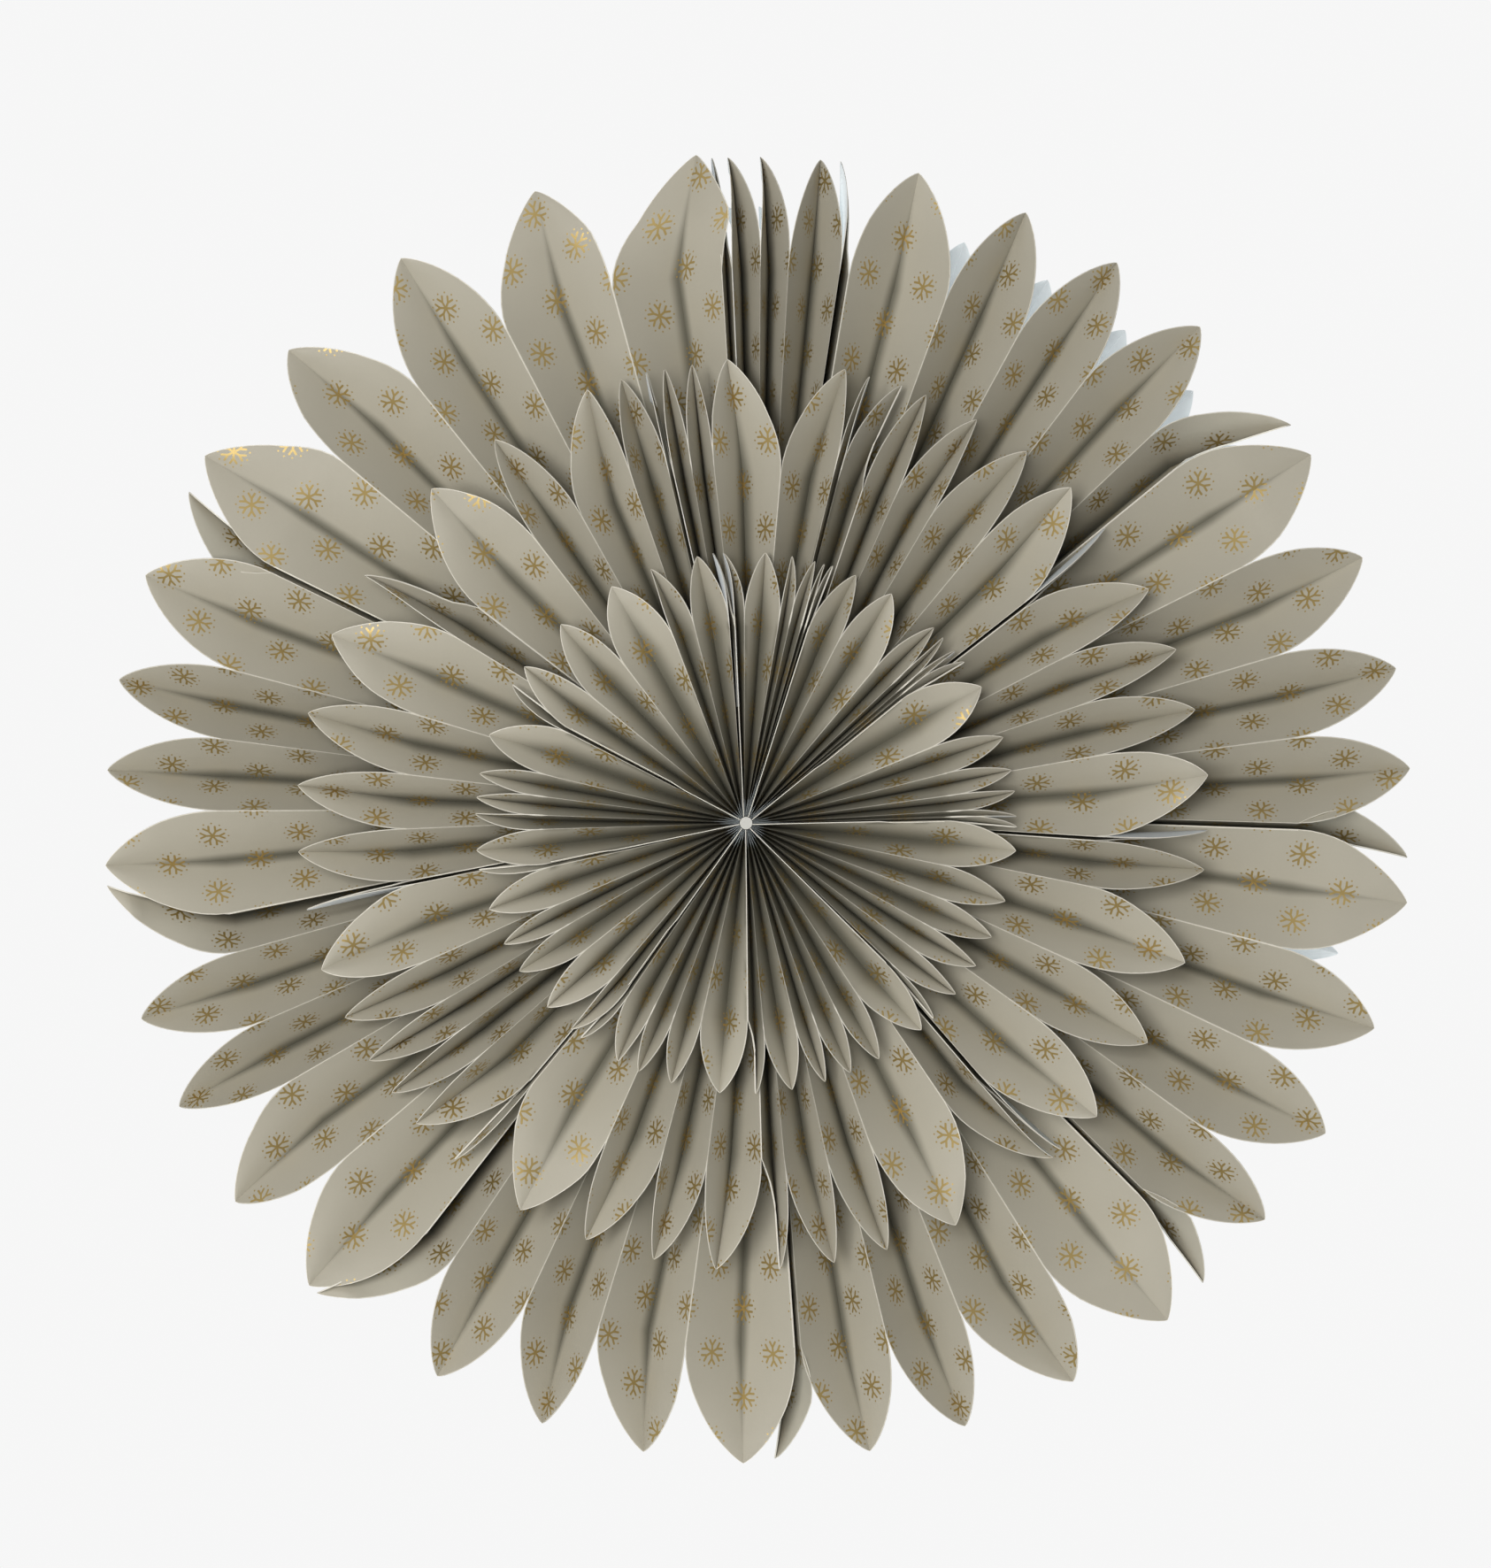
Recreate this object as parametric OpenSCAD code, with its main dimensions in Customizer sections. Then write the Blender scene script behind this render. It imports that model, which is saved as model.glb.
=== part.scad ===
// Paper advent star: four accordion pleated paper discs, tied one behind the other.
// Each disc is glued together from nine folded sheets. Every pleat ends in a pointed petal.
// X is right, Z is up and the star faces -Y. The origin is at the back, behind the middle of the outer tier.

/* [Outer tier] */
// Radius from the axis to the petal tips of the outer tier
outer_tip_r = 300; // [285:1:330]
// Radius at which the petals of the outer tier part
outer_notch_r = 246; // [225:1:265]
// Width of one pleat of the outer tier, from ridge to valley
outer_pleat_w = 31; // [30:0.5:36]

/* [Middle tier] */
// Radius from the axis to the petal tips of the middle tier
middle_tip_r = 207; // [190:1:220]
// Radius at which the petals of the middle tier part
middle_notch_r = 155; // [140:1:170]
// Width of one pleat of the middle tier
middle_pleat_w = 25; // [24:0.5:30]

/* [Inner tier] */
// Radius from the axis to the petal tips of the inner tier
inner_tip_r = 122; // [112:1:132]
// Radius at which the petals of the inner tier part
inner_notch_r = 88; // [80:1:96]
// Width of one pleat of the inner tier
inner_pleat_w = 17; // [16:0.5:22]

/* [Back tier] */
// How far the tips of the tier that faces backwards stay inside those of the outer tier
back_short = 26; // [20:1:35]
// Radius at which the petals of the back tier part
back_notch_r = 228; // [215:1:240]
// Width of one pleat of the back tier
back_pleat_w = 29; // [28:0.5:34]

/* [Paper] */
// Thickness of the paper
paper_t = 0.3; // [0.2:0.05:0.35]
// Clearance between two glued faces
glue_gap = 0.04; // [0.03:0.01:0.06]
// How far the seam tape stands out in front of its pleat
tape_out = 0.8; // [0:0.1:1.5]
// How far the ridges fall back from the hub to the notches
ridge_fall = 3; // [1:0.5:5]
// Fullness of a petal's outline between its notch and its tip
petal_full = 1.7; // [1.5:0.1:2.2]

/* [Hub and seam] */
// Radius of the hole in the middle of the inner tier
inner_hub_r = 3; // [3:0.1:3.6]
// Radius of the hole in the middle of the other tiers
hub_r = 5; // [4.8:0.1:6]
// Clearance between one tier and the next
tier_gap = 0.1; // [0.05:0.05:0.3]
// Sideways step from each tier to the one in front of it
step_x = -2.8; // [-3:0.1:0]
// Downward step from each tier to the one in front of it
step_z = -3.3; // [-3.5:0.1:0]
// Diameter of the binding thread
thread_d = 1; // [0.8:0.1:1.2]
// Clearance between the thread's knots and the paper round them
knot_gap = 0.2; // [0.15:0.05:0.3]
// Length of a knot along the thread
knot_len = 3; // [2:0.5:5]
// Thickness of the seam tape
tape_t = 0.1; // [0.08:0.01:0.15]
// Width of the seam tape
tape_w = 6; // [4:0.5:8]

/* [Hidden] */
// Angle at which the sheets of each tier begin, in degrees from +X
outer_start = 92.5;
middle_start = 102.4;
inner_start = 94.8;
back_start = 92.5;
// One row for each sheet. A pair holds a pleat's opening at the notch and how far its tip leans,
// both in degrees, and the last pair of a row is the narrow pleat that the next sheet is glued into.
// Its third value, if it has one, is how far the free half of its petal turns outwards.
// All angles are as seen from the front, about the middle of the inner tier.
outer_pleats = [
    [[11.6, -4], [11.9, -1.5], [11.1, 0], [11.2, 1.5], [13.5, 1], [0.6, -2.5, 0.6]],
    [[11.3, -0.2], [7.5, 0], [7.8, 0.5], [11.3, -0.5], [4.3, -6.4]],
    [[8.1, -0.3], [7.2, 0.7], [10.4, 1.9], [12.2, 0.7], [4.1, -6.4]],
    [[9.3, 0.1], [8.3, 1.7], [9.7, 2.2], [12, 0.4], [0.6, -3, 0.3]],
    [[9.4, 0.5], [8.3, 0.5], [10.3, 1.6], [12.8, 0], [0.6, -2.1, 0.4]],
    [[9.1, 0.8], [10.2, 0.4], [10.4, 0.2], [12.5, 0], [0.6, -2.6, 0.5]],
    [[8.9, 0.3], [8.7, 0.2], [9.8, 0.9], [12.3, -0.3], [4.2, -5.4]],
    [[8.9, -0.6], [8.3, -0.2], [8.3, 0.4], [10.3, 0.9], [1, 2]],
    [[5.3, 0.6], [2.9, 1.7], [2.9, 1.6], [1.1, 1]],
];
middle_pleats = [
    [[5.9, 0.4], [10, -3.1], [8.4, 0.9], [14.7, -0.6], [6.2, 2.8]],
    [[14.6, 1], [10.1, -0.9], [9.2, -1.2], [8.7, -1.6], [0.7, 1.2]],
    [[13.1, 2.2], [7.1, -1], [5.6, -1], [5.2, -1.3], [8.8, -3.2], [0.7, -1.1]],
    [[15.8, 1.3], [9.6, -2.1], [7.6, -1.6], [9.2, -1.9], [3.9, -0.2]],
    [[7.1, 1.3], [7.6, 0.9], [14.5, -0.8], [6.4, 3.8], [0.9, 1.6]],
    [[13.4, 0.6], [11, -0.3], [12.6, -1], [7.5, 0.8], [0.7, 1.6]],
    [[13.2, 1.6], [8.6, -1], [8.1, -1.5], [10.2, -2.4], [0.7, 1.4]],
    [[11.9, 1.7], [8.9, -1.6], [6.5, -2], [5.3, -0.9], [4.3, -2.4]],
    [[0.9, -0.9], [8.5, -2.4], [10.9, 2.6], [3.6, -0.2], [2.9, 0], [0.8, 0.5]],
];
inner_pleats = [
    [[10, 0.6], [6.5, 2.6], [16.5, 0.2], [13.2, -1.1], [11.4, -1.5], [1, -3]],
    [[13.6, 1.3], [6.1, 0], [5.3, -0.6], [3.9, -1.7], [9.9, -0.8], [1, -2]],
    [[11, 0.6], [6.3, 0], [8.6, -0.8], [11.2, -1], [5, -2.2], [1.2, -2.4]],
    [[8, 2.2], [6.1, 0.1], [7.7, 0.6], [13.3, 0.6], [4.4, -0.5]],
    [[9, 0.5], [5.4, 0.6], [6.7, 0.2], [7.2, 0], [12.1, 1.3], [1, -1.6]],
    [[7.1, 1.3], [7.7, 1.3], [8.3, 0.3], [9.1, -0.2], [12.9, -0.2], [1, -2]],
    [[1.6, -1.1], [4.4, 1.3], [6.3, 0.4], [8.2, 0.4], [16.6, -0.3], [1, -2.6]],
    [[1.4, -0.8], [2.6, 1], [6.6, -0.7], [13.1, 1], [9.1, -1.5], [1, -1.2]],
    [[1.2, -0.6], [3.4, -0.8], [3, 1], [9.9, 0.3], [2.6, 3], [1.7, 3]],
];
back_pleats = [
    [[11.6, -4], [11.9, -1.5], [11.1, 0], [11.2, 1.5], [13.5, 1], [0.6, -2.5]],
    [[11.3, -0.2], [7.5, 0], [7.8, 0.5], [11.3, -0.5], [4.3, -4.4]],
    [[8.1, -0.3], [7.2, 0.7], [10.4, 1.9], [12.2, 0.7], [4.1, -4.4]],
    [[9.3, 0.1], [8.3, 1.7], [9.7, 2.2], [12, 0.4], [0.6, -3]],
    [[9.4, 0.5], [8.3, 0.5], [10.3, 1.6], [12.8, 0], [0.6, -2.1]],
    [[9.1, 0.8], [10.2, 0.4], [8.3, 0.5], [5.5, 0], [9.1, 0], [0.6, -2.6]],
    [[8.9, 0.3], [8.7, 0.2], [9.8, 0.9], [12, -0.3], [1, -2.5]],
    [[8, -0.2], [8.5, 0], [8.6, 0], [7.8, 0.3], [6.4, -1.2], [1, 2]],
    [[5.3, 0.6], [2.9, 1.7], [2.9, 1.6], [1.1, 1]],
];

// How far along a petal its outline is measured, as a share of its length
fine_steps = [0, 0.4, 0.75, 0.93];
plain_steps = [0, 0.5, 0.85];
// How far along a ridge the folds are measured, from the hub to the notch
fold_steps = [0, 0.35, 1];
// How much of a petal's lean there is at its notch already
notch_lean = 0.3;
// How the outline closes at the tip
petal_close = 0.8;
// Beyond the notch the glued half of a petal is trimmed to this share of its width
glued_trim = 0.55;
// Rise towards the front, in degrees, of a free half that is turned outwards all the way
turned_rise = 25;
// A folded edge is solid over at most this share of the pleat's width
fold_solid = 0.4;
// A pleat that is pulled wide open keeps this share of its depth
least_depth = 0.3;
// Paper at the hub is pressed to this share of the room it has there
hub_press = 0.6;

// A tier is a list: name, tip radius, notch radius, pleat width, hub radius, start, pleats, petal
// steps, centre, y of its ridges, and the side that its printed face is on
back_y = 0;
outer_y = back_y - back_pleat_w - tier_gap - outer_pleat_w;
middle_y = outer_y - tier_gap - middle_pleat_w;
inner_y = middle_y - tier_gap - inner_pleat_w;
TIERS = [
    ["outer", outer_tip_r, outer_notch_r, outer_pleat_w, hub_r, outer_start, outer_pleats,
        fine_steps, [0, 0], outer_y, 1],
    ["middle", middle_tip_r, middle_notch_r, middle_pleat_w, hub_r, middle_start, middle_pleats,
        plain_steps, [step_x, step_z], middle_y, 1],
    ["inner", inner_tip_r, inner_notch_r, inner_pleat_w, inner_hub_r, inner_start, inner_pleats,
        plain_steps, [2 * step_x, 2 * step_z], inner_y, 1],
    ["back", outer_tip_r - back_short, back_notch_r, back_pleat_w, hub_r, back_start, back_pleats,
        plain_steps, [-step_x, -step_z], back_y, -1],
];
SHEETS = 9;

function tier_name(t) = t[0];
function tip_r(t) = t[1];
function notch_r(t) = t[2];
function pleat_w(t) = t[3];
function tier_hub_r(t) = t[4];
function start(t) = t[5];
function rows(t) = t[6];
function steps(t) = t[7];
function centre(t) = t[8];
function ridge_y(t) = t[9];
function facing(t) = t[10];

function total(v, n, i = 0) = i >= n ? 0 : v[i] + total(v, n, i + 1);
function unit(v) = v / norm(v);
function mix(a, b, f) = a + (b - a) * f;
function at(r, angle) = [r * cos(angle), 0, r * sin(angle)];
// Point at radius r about the tier's own centre, in the direction seen from the middle of the star
function seen_at(t, r, angle) = let (
    u = at(1, angle),
    c = [2 * step_x - centre(t)[0], 0, 2 * step_z - centre(t)[1]],
    a = c * u)
    c + u * (sqrt(r * r - c * c + a * a) - a);

// The pleats of a tier in one list, and which of them are joints
function flat(t) = [for (row = rows(t)) for (p = row) p];
function turned(t) = [for (p = flat(t)) len(p) > 2 ? p[2] : 0];
function joint(t) = [for (row = rows(t)) for (i = [0:len(row) - 1]) i == len(row) - 1];
// Openings brought to a full turn, and the angle of each ridge at the notches
function openings(t) =
    let (o = [for (p = flat(t)) p[0]], s = total(o, len(o))) [for (x = o) x * 360 / s];
function ridge_angles(t) = let (o = openings(t)) [for (i = [0:len(o)]) start(t) + total(o, i)];
// At the hub every panel has the same room, and a joint has three panels
function shares(t) = [for (j = joint(t)) j ? 3 : 2];
function hub_step(t) = let (s = shares(t)) 360 / total(s, len(s));
function hub_angles(t) = let (
    s = shares(t),
    a = ridge_angles(t),
    h = [for (i = [0:len(s)]) hub_step(t) * total(s, i)],
    turn = total([for (i = [0:len(s)]) a[i] - h[i]], len(s) + 1) / (len(s) + 1))
    [for (x = h) x + turn];
// First pleat of each sheet: the joint before it, which is the last pleat of the row before
function row_start(t, k) = total([for (row = rows(t)) len(row)], k);

// Half the width of a petal, from 1 at its notch to 0 at its tip
function petal(s) = pow(max(0, 1 - pow(s, petal_full)), petal_close);

// A fold point lies on the straight line from the hub to the notch
function hub_line(t, hub_a, notch_a, q) =
    mix(at(tier_hub_r(t), hub_a), seen_at(t, notch_r(t), notch_a), q);
// Depth of a valley between half chords a and b, where the ridges have fallen back by f
function depth(w, a, b, f) =
    min(w - f, sqrt(max(w * w - (a * a + b * b) / 2, pow(least_depth * w, 2))));
// Stations of a pleat, from the hub to the petal tip: ridge, valley, ridge, petal width as a share
// of the pleat's, and the thickness of the paper there
function stations(t, i, ra, ha, out, lean, jt) = let (
    w = pleat_w(t),
    mid = (ra[i] + ra[i + 1]) / 2,
    hub_v = ha[i] + hub_step(t) * (jt[i] ? 2 : 1),
    v_a = mid + lean[i] * notch_lean,
    hub_t = min(paper_t, hub_press * tier_hub_r(t) * hub_step(t) * PI / 180))
    concat(
        [for (q = fold_steps) let (
            a = hub_line(t, ha[i], ra[i], q),
            b = hub_line(t, ha[i + 1], ra[i + 1], q),
            v = hub_line(t, hub_v, v_a, q),
            y = ridge_y(t) + ridge_fall * q,
            d = depth(w, norm(v - a), norm(b - v), ridge_fall * q))
            [a + [0, y, 0], v + [0, y + d, 0], b + [0, y, 0], 1, q == 0 ? hub_t : paper_t]],
        [for (j = [1:len(steps(t))]) let (
            s = j < len(steps(t)) ? steps(t)[j] : 1,
            r = mix(notch_r(t), tip_r(t), s),
            a = seen_at(t, r, ra[i]),
            b = seen_at(t, r, ra[i + 1]),
            v = seen_at(t, r, mid + lean[i] * mix(notch_lean, 1, s)),
            y = ridge_y(t) + ridge_fall,
            d = depth(w, norm(v - a), norm(b - v), ridge_fall),
            vp = v + [0, y + d, 0],
            f = min(1, 2 * s),
            l = a + [0, y, 0] - vp,
            m = b + [0, y, 0] - vp,
            away = [-sin(mid) * cos(turned_rise), -sin(turned_rise), cos(mid) * cos(turned_rise)],
            to_l = jt[i] && lean[i] < 0 ? unit(mix(unit(l), [0, -1, 0], f)) : unit(l),
            to_m = unit(mix(unit(m), away, out[i] * f)),
            trim = jt[i] ? mix(1, glued_trim, min(1, 2 * f)) : 1)
            [vp + to_l * trim * mix(norm(l), w, f), vp, vp + to_m * mix(norm(m), w, f), petal(s),
                paper_t]]);

// Normal of a panel towards its printed face, from the points on its left and right
function face_normal(a, b, out) = unit(cross(out, b - a));
// Offset that keeps two panels at thickness th on the inner side of their fold
function mitre(n1, n2, th, cap) = let (
    m = (n1 + n2) * th / max(0.0001, 1 + n1 * n2), l = norm(m)) l > cap ? m * cap / l : m;

// Fold offset of a pleat's valley at station s
function valley_mitre(t, s) = let (
    o = unit([s[1][0], 0, s[1][2]]),
    n1 = face_normal(s[0], s[1], o),
    n2 = face_normal(s[1], s[2], o))
    mitre(n1, n2, s[4], max(s[4], fold_solid * pleat_w(t) * s[3]));

// Printed and plain side points of a column: each is a list of pairs [printed, plain]
function valley_column(t, st) = [for (s = st) [s[1] + valley_mitre(t, s), s[1]]];
function ridge_column(t, left, right) = [for (i = [0:len(fold_steps) - 1]) let (
    p = left[i][2],
    o = unit([p[0], 0, p[2]]),
    n1 = face_normal(left[i][1], p, o),
    n2 = face_normal(p, right[i][1], o),
    m = mitre(n1, n2, left[i][4], fold_solid * pleat_w(t)))
    [p, p - m]];
// Cut edge of a petal on its left or right side, from the first step after the notch
function petal_edge(t, st, side) = [for (i = [len(fold_steps):len(st) - 2]) let (
    s = st[i],
    o = unit([s[1][0], 0, s[1][2]]),
    v = s[1] + valley_mitre(t, s),
    p = side < 0 ? s[0] : s[2],
    n = side < 0 ? face_normal(p, s[1], o) : face_normal(s[1], p, o),
    e = mix(v, p, s[3]))
    [e, e - n * s[4]]];
// The joint pleat's first panel is doubled: g moves its faces towards the printed side
function joint_edge(t, st, g) = [for (i = [0:len(st) - 2]) let (
    s = st[i],
    o = unit([s[1][0], 0, s[1][2]]),
    n = face_normal(s[0], s[1], o),
    e = mix(s[1], s[0], s[3]) + n * (g + s[4]))
    [e, e - n * s[4]]];
// Far edge of the glue panel, at the back of the joint's valley, and its cut edge
function glue_column(t, st, g) = [for (s = st) let (
    o = unit([s[1][0], 0, s[1][2]]),
    n = face_normal(s[0], s[1], o),
    e = s[1] - n * g)
    [e, e - n * s[4]]];
function glue_edge(t, st, g) = [for (i = [len(fold_steps):len(st) - 2]) let (
    s = st[i],
    o = unit([s[1][0], 0, s[1][2]]),
    n = face_normal(s[0], s[1], o),
    e = mix(s[1], s[0], s[3]) - n * g)
    [e, e - n * s[4]]];

// A sheet is a row of columns. A ridge column has its fold points and the two cut edges beyond.
// Index of the first point of column j, for a sheet whose columns are ridge, valley, ridge ...
function first_len(q, e) = q + e;
function ridge_len(q, e) = q + 2 * e;
function valley_len(q, e) = q + e + 1;
function offset_of(j, q, e) = j == 0 ? 0
    : first_len(q, e) + floor(j / 2) * valley_len(q, e) + floor((j - 1) / 2) * ridge_len(q, e);
// Point k of column j, seen from its left or right neighbour
function point_at(j, k, side, q, e) =
    offset_of(j, q, e) + (k < q || j == 0 || j % 2 == 1 || side < 0 ? k : k + e);

// Faces of the panel between columns j and j + 1 of n points a side
function panel_faces(j, q, e, n) = let (
    last = q + e,
    l = [for (k = [0:last - 1]) point_at(j, k, 1, q, e)],
    r = [for (k = [0:last - 1]) point_at(j + 1, k, -1, q, e)],
    tip = j % 2 == 1 ? point_at(j, last, 1, q, e) : point_at(j + 1, last, -1, q, e),
    cut = j % 2 == 1 ? r : l)
    concat(
        [for (k = [0:last - 2]) each [
            [l[k], r[k], r[k + 1]], [l[k], r[k + 1], l[k + 1]],
            [n + l[k], n + r[k + 1], n + r[k]], [n + l[k], n + l[k + 1], n + r[k + 1]]]],
        [[l[last - 1], r[last - 1], tip], [n + l[last - 1], n + tip, n + r[last - 1]]],
        [[l[0], n + l[0], n + r[0]], [l[0], n + r[0], r[0]]],
        [for (k = [q - 1:last - 1]) let (
            a = cut[k],
            b = k == last - 1 ? tip : cut[k + 1])
            each j % 2 == 1
                ? [[a, n + a, n + b], [a, n + b, b]]
                : [[a, b, n + b], [a, n + b, n + a]]]);
// Faces along the two free sides of a sheet whose last column is m
function side_faces(m, q, e, n) = concat(
    [for (k = [0:q - 2]) let (a = point_at(0, k, 1, q, e), b = point_at(0, k + 1, 1, q, e))
        each [[a, b, n + b], [a, n + b, n + a]]],
    [for (k = [0:q + e - 1]) let (a = point_at(m, k, -1, q, e), b = point_at(m, k + 1, -1, q, e))
        each [[a, n + a, n + b], [a, n + b, b]]]);

// Clearance at a seam, wide enough for the tape up to its far edge
function tape_room(t) = (tape_t + 3 * glue_gap) / (1 - tape_w / pleat_w(t));

// Sheet k of a tier, from the joint before its first pleat to its glue panel
module sheet(t, k) {
    jt = joint(t);
    ra = ridge_angles(t);
    ha = hub_angles(t);
    out = turned(t);
    lean = [for (p = flat(t)) p[1]];
    count = len(jt);
    first = row_start(t, k);
    pleats = len(rows(t)[k]) - 1;
    q = len(fold_steps);
    e = len(steps(t)) - 1;
    before = (first + count - 1) % count;
    gap_before = k == 0 ? tape_room(t) : glue_gap / 2;
    gap_after = glue_gap / 2;
    st = [for (i = [0:pleats + 1])
        stations(t, i == 0 ? before : first + i - 1, ra, ha, out, lean, jt)];
    columns = concat(
        [joint_edge(t, st[0], gap_before)],
        [for (i = [0:pleats]) each [
            valley_column(t, st[i]),
            concat(
                [for (c = ridge_column(t, st[i], st[i + 1])) c],
                petal_edge(t, st[i], 1),
                i < pleats ? petal_edge(t, st[i + 1], -1) : glue_edge(t, st[i + 1], gap_after))]],
        [glue_column(t, st[pleats + 1], gap_after)]);
    printed = [for (c = columns) for (p = c) p[0]];
    plain = [for (c = columns) for (p = c) p[1]];
    n = len(printed);
    m = len(columns) - 1;
    polyhedron(
        points = concat(printed, plain),
        faces = concat([for (j = [0:m - 1]) each panel_faces(j, q, e, n)], side_faces(m, q, e, n)),
        convexity = 12);
}

// Tape between the two glued panels of the seam
module seam_tape(t) {
    jt = joint(t);
    count = len(jt);
    st = stations(t, count - 1, ridge_angles(t), hub_angles(t), turned(t),
        [for (p = flat(t)) p[1]], jt);
    b = st[len(fold_steps) - 1];
    n = face_normal(b[0], b[1], unit([b[1][0], 0, b[1][2]]));
    down = unit(b[1] - b[0]);
    tape_in = tape_w - tape_out;
    // It starts where its inner edge lies on the flat part of the panel beside the ridge
    start = mix(st[len(fold_steps) - 2][0], b[0], tape_w / pleat_w(t));
    corners = [for (h = [2 * glue_gap, 2 * glue_gap + tape_t]) each [
        start + n * h - down * tape_out, start + n * h + down * tape_in,
        b[0] + n * h + down * tape_in, b[0] + n * h - down * tape_out]];
    polyhedron(points = corners, faces = [
        [0, 3, 2, 1], [4, 5, 6, 7], [0, 1, 5, 4], [1, 2, 6, 5], [2, 3, 7, 6], [3, 0, 4, 7]]);
}

// Stands a piece of a tier on the tier's centre, facing the tier's way
module placed(t) {
    translate([centre(t)[0], 0, centre(t)[1]])
        translate([0, facing(t) > 0 ? 0 : 2 * ridge_y(t), 0])
            mirror([0, facing(t) > 0 ? 0 : 1, 0]) children();
}

// Straight length of round thread between two points
module rod(a, b, d) {
    v = b - a;
    translate(a) rotate([0, acos(v[2] / norm(v)), atan2(v[1], v[0])])
        cylinder(h = norm(v), d = d, $fn = 48);
}

// Thread through the middle of all the tiers, with a knot at each end
module binding_thread() {
    front = [2 * step_x, inner_y, 2 * step_z];
    back = [-step_x, back_y - knot_len, -step_z];
    half_knot = [0, knot_len / 2, 0];
    color("white") {
        rod(front + half_knot, back + half_knot, thread_d);
        knot(front, inner_hub_r - knot_gap);
        knot(back, hub_r - knot_gap);
    }
}

// Knot of radius r that runs backwards from a point
module knot(p, r) {
    translate(p) rotate([-90, 0, 0]) cylinder(h = knot_len, r = r, $fn = 64);
}

for (t = TIERS) for (k = [1:SHEETS])
    color("#b4ada0") placed(t) sheet(t, k - 1);
for (t = TIERS)
    color("white") placed(t) seam_tape(t);
binding_thread();
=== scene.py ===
"""Looks of the paper advent star: printed pleated sheets, seam tapes and the thread through the hubs."""
import math
import random

import bpy
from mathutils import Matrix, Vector

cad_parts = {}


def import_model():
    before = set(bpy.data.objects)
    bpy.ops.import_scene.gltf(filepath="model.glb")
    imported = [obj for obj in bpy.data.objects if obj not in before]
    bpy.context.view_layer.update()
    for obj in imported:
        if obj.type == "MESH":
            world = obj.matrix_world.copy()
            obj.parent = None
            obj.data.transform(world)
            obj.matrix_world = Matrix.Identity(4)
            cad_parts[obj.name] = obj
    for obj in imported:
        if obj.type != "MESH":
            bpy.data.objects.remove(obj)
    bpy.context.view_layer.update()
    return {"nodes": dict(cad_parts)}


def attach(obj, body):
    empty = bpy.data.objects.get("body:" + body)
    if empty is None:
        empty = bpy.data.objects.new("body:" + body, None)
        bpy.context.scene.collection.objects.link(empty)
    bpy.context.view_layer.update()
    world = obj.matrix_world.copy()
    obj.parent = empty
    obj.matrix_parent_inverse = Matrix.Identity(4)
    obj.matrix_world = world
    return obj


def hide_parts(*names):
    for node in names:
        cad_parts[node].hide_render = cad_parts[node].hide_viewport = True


MM = 0.001

# Sizes in millimetres. All angles are in degrees from +X, as seen from the front.
PAPER_T = 0.3
GLUE_GAP = 0.04
# Seen from a tier's printed side, its ridges fall away by this much from the hub to the notch
RIDGE_FALL = 3
# Outline of a petal: how long it stays full, and how bluntly it closes at the tip
PETAL_FULL = 1.7
PETAL_CLOSE = 0.8
# Share of the tip's lean that a valley has at the notch
NOTCH_LEAN = 0.3
# A valley is at least this share of its panels' width deep
LEAST_DEPTH = 0.3
TIER_GAP = 0.1
# The middle of each tier lies this far from that of the tier behind it
STEP_X = -2.8
STEP_Z = -3.3
HUB_R = 5
INNER_HUB_R = 3

# One row for each sheet. A pair holds a pleat's opening at the notch and how far its tip leans.
# The last pair of a row is the narrow pleat that the next sheet is glued into. Its third value, if it
# has one, is how far the free half of its petal turns outwards.
OUTER_PLEATS = [
    [[11.6, -4], [11.9, -1.5], [11.1, 0], [11.2, 1.5], [13.5, 1], [0.6, -2.5, 0.6]],
    [[11.3, -0.2], [7.5, 0], [7.8, 0.5], [11.3, -0.5], [4.3, -6.4]],
    [[8.1, -0.3], [7.2, 0.7], [10.4, 1.9], [12.2, 0.7], [4.1, -6.4]],
    [[9.3, 0.1], [8.3, 1.7], [9.7, 2.2], [12, 0.4], [0.6, -3, 0.3]],
    [[9.4, 0.5], [8.3, 0.5], [10.3, 1.6], [12.8, 0], [0.6, -2.1, 0.4]],
    [[9.1, 0.8], [10.2, 0.4], [10.4, 0.2], [12.5, 0], [0.6, -2.6, 0.5]],
    [[8.9, 0.3], [8.7, 0.2], [9.8, 0.9], [12.3, -0.3], [4.2, -5.4]],
    [[8.9, -0.6], [8.3, -0.2], [8.3, 0.4], [10.3, 0.9], [1, 2]],
    [[5.3, 0.6], [2.9, 1.7], [2.9, 1.6], [1.1, 1]],
]
MIDDLE_PLEATS = [
    [[5.9, 0.4], [10, -3.1], [8.4, 0.9], [14.7, -0.6], [6.2, 2.8]],
    [[14.6, 1], [10.1, -0.9], [9.2, -1.2], [8.7, -1.6], [0.7, 1.2]],
    [[13.1, 2.2], [7.1, -1], [5.6, -1], [5.2, -1.3], [8.8, -3.2], [0.7, -1.1]],
    [[15.8, 1.3], [9.6, -2.1], [7.6, -1.6], [9.2, -1.9], [3.9, -0.2]],
    [[7.1, 1.3], [7.6, 0.9], [14.5, -0.8], [6.4, 3.8], [0.9, 1.6]],
    [[13.4, 0.6], [11, -0.3], [12.6, -1], [7.5, 0.8], [0.7, 1.6]],
    [[13.2, 1.6], [8.6, -1], [8.1, -1.5], [10.2, -2.4], [0.7, 1.4]],
    [[11.9, 1.7], [8.9, -1.6], [6.5, -2], [5.3, -0.9], [4.3, -2.4]],
    [[0.9, -0.9], [8.5, -2.4], [10.9, 2.6], [3.6, -0.2], [2.9, 0], [0.8, 0.5]],
]
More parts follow.
